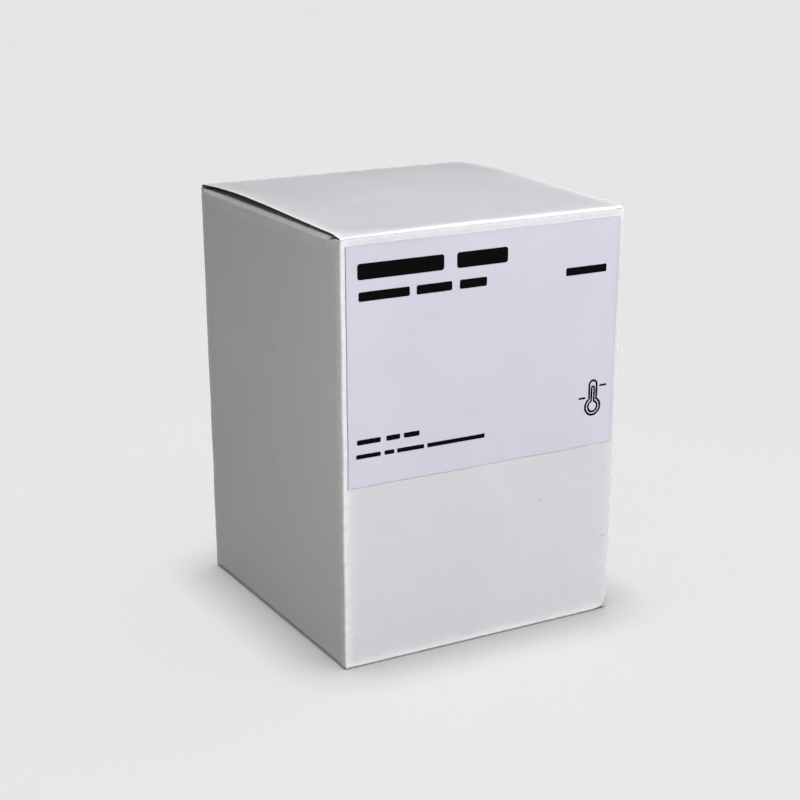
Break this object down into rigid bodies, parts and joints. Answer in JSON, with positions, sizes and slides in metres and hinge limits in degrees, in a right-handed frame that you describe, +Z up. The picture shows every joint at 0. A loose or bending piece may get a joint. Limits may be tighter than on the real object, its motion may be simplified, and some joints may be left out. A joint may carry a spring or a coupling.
{
  "type": "boxed ink bottle",
  "caption": "Square folding paperboard carton with tucked lid and bottom and a front label, holding a round glass ink bottle with a ribbed screw cap.",
  "frame": {"origin": "middle of the carton's footprint, on the surface it stands on", "axes": "+Z up, -Y towards the carton's labelled front, +X to the right of someone facing the front"},
  "size_m": [0.06, 0.0601, 0.0828],
  "materials": {
    "carton_board": "matte",
    "label_paper": "satin",
    "glue": "matte",
    "bottle_glass": "gloss",
    "black_ink": "gloss",
    "cap_plastic": "satin",
    "liner_foam": "matte"
  },
  "bodies": {
    "sleeve": {"front_panel": "carton_board", "left_side_panel": "carton_board", "back_panel": "carton_board", "right_side_panel": "carton_board", "glue_flap": "carton_board", "seam_adhesive": "glue", "front_label": "label_paper"},
    "lid": {"lid": "carton_board"},
    "lid_tuck": {"lid_tuck_flap": "carton_board"},
    "left_dust": {"left_dust_flap": "carton_board"},
    "right_dust": {"right_dust_flap": "carton_board"},
    "bottom": {"bottom_panel": "carton_board"},
    "bottom_tuck": {"bottom_tuck_flap": "carton_board"},
    "bottom_left_dust": {"bottom_left_dust_flap": "carton_board"},
    "bottom_right_dust": {"bottom_right_dust_flap": "carton_board"},
    "bottle": {"glass_bottle": "bottle_glass", "ink": "black_ink", "bottle_label": "label_paper"},
    "cap_seal": {"cap_liner": "liner_foam"},
    "cap": {"screw_cap": "cap_plastic"}
  },
  "joints": [
    {"name": "bottle_lift", "type": "slide", "parent": "sleeve", "child": "bottle", "axis": [0, 0, 1], "range_m": [0, 0.076]},
    {"name": "lid_hinge", "type": "hinge", "parent": "sleeve", "child": "lid", "pos_m": [0, 0.03, 0.082], "axis": [-1, 0, 0], "range_deg": [0, 178]},
    {"name": "lid_tuck_fold", "type": "hinge", "parent": "lid", "child": "lid_tuck", "pos_m": [0, -0.02945, 0.082], "axis": [-1, 0, 0], "range_deg": [0, 35.6]},
    {"name": "left_dust_fold", "type": "hinge", "parent": "sleeve", "child": "left_dust", "pos_m": [-0.03, 0, 0.0813], "axis": [0, -1, 0], "range_deg": [0, 172.7]},
    {"name": "right_dust_fold", "type": "hinge", "parent": "sleeve", "child": "right_dust", "pos_m": [0.03, 0, 0.0813], "axis": [0, 1, 0], "range_deg": [0, 172.7]},
    {"name": "bottom_hinge", "type": "hinge", "parent": "sleeve", "child": "bottom", "pos_m": [0, -0.03, 0], "axis": [-1, 0, 0], "range_deg": [0, 178]},
    {"name": "bottom_tuck_fold", "type": "hinge", "parent": "bottom", "child": "bottom_tuck", "pos_m": [0, 0.02945, 0], "axis": [-1, 0, 0], "range_deg": [0, 35.6]},
    {"name": "bottom_left_dust_fold", "type": "hinge", "parent": "sleeve", "child": "bottom_left_dust", "pos_m": [-0.03, 0, 0.00055], "axis": [0, 1, 0], "range_deg": [0, 172.7]},
    {"name": "bottom_right_dust_fold", "type": "hinge", "parent": "sleeve", "child": "bottom_right_dust", "pos_m": [0.03, 0, 0.00055], "axis": [0, -1, 0], "range_deg": [0, 172.7]},
    {"name": "cap_rise", "type": "slide", "parent": "bottle", "child": "cap_seal", "axis": [0, 0, 1], "range_m": [0, 0.00467]},
    {"name": "cap_turn", "type": "hinge", "parent": "cap_seal", "child": "cap", "pos_m": [0, 0, 0.068], "axis": [0, 0, 1], "range_deg": [0, 400]}
  ],
  "couplings": [
    {"joint": "lid_hinge", "follows": "bottle_lift", "rad_per_m": 40.875},
    {"joint": "lid_tuck_fold", "follows": "bottle_lift", "rad_per_m": 8.175},
    {"joint": "left_dust_fold", "follows": "bottle_lift", "rad_per_m": 39.649},
    {"joint": "right_dust_fold", "follows": "bottle_lift", "rad_per_m": 39.649},
    {"joint": "bottom_tuck_fold", "follows": "bottom_hinge", "ratio": 0.2},
    {"joint": "bottom_left_dust_fold", "follows": "bottom_hinge", "ratio": 0.97},
    {"joint": "bottom_right_dust_fold", "follows": "bottom_hinge", "ratio": 0.97},
    {"joint": "cap_turn", "follows": "cap_rise", "rad_per_m": 1496}
  ]
}
